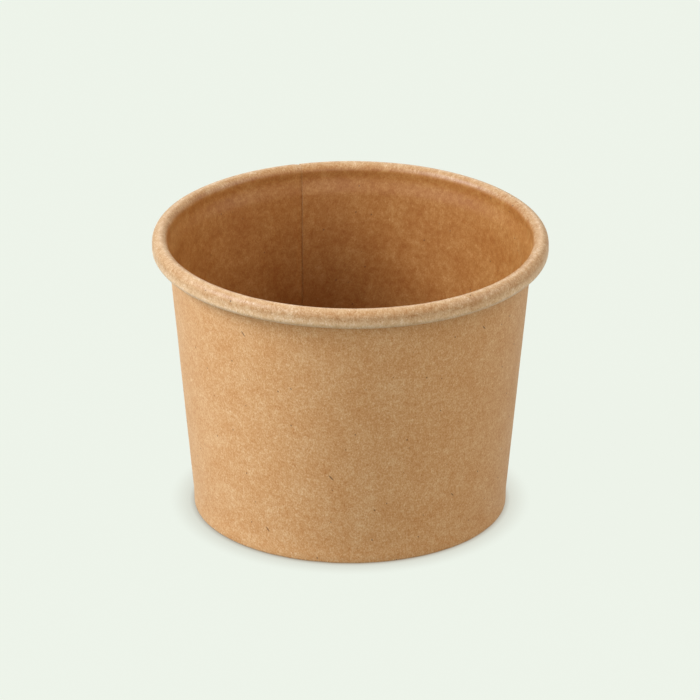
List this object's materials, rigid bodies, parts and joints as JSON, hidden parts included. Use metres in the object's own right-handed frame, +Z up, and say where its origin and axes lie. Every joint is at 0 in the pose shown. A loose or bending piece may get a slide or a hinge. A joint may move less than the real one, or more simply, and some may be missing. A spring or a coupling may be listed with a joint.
{
  "type": "paper soup bowl",
  "caption": "Round kraft paper soup bowl with a tapered wrapped wall, an outward rolled rim, a lapped side seam and a recessed base panel in a folded foot.",
  "frame": {"origin": "on the bowl's axis, at the plane that the foot stands on", "axes": "+Z up along the axis; -Y is the side facing the viewer; the side seam is at the back, 15.4 degrees left of +Y"},
  "size_m": [0.09, 0.09, 0.0659],
  "materials": {
    "kraft_board": "matt unbleached kraft board with a fine fibre grain"
  },
  "bodies": {
    "root": {"sidewall": "kraft_board", "base_disc": "kraft_board"}
  },
  "joints": []
}
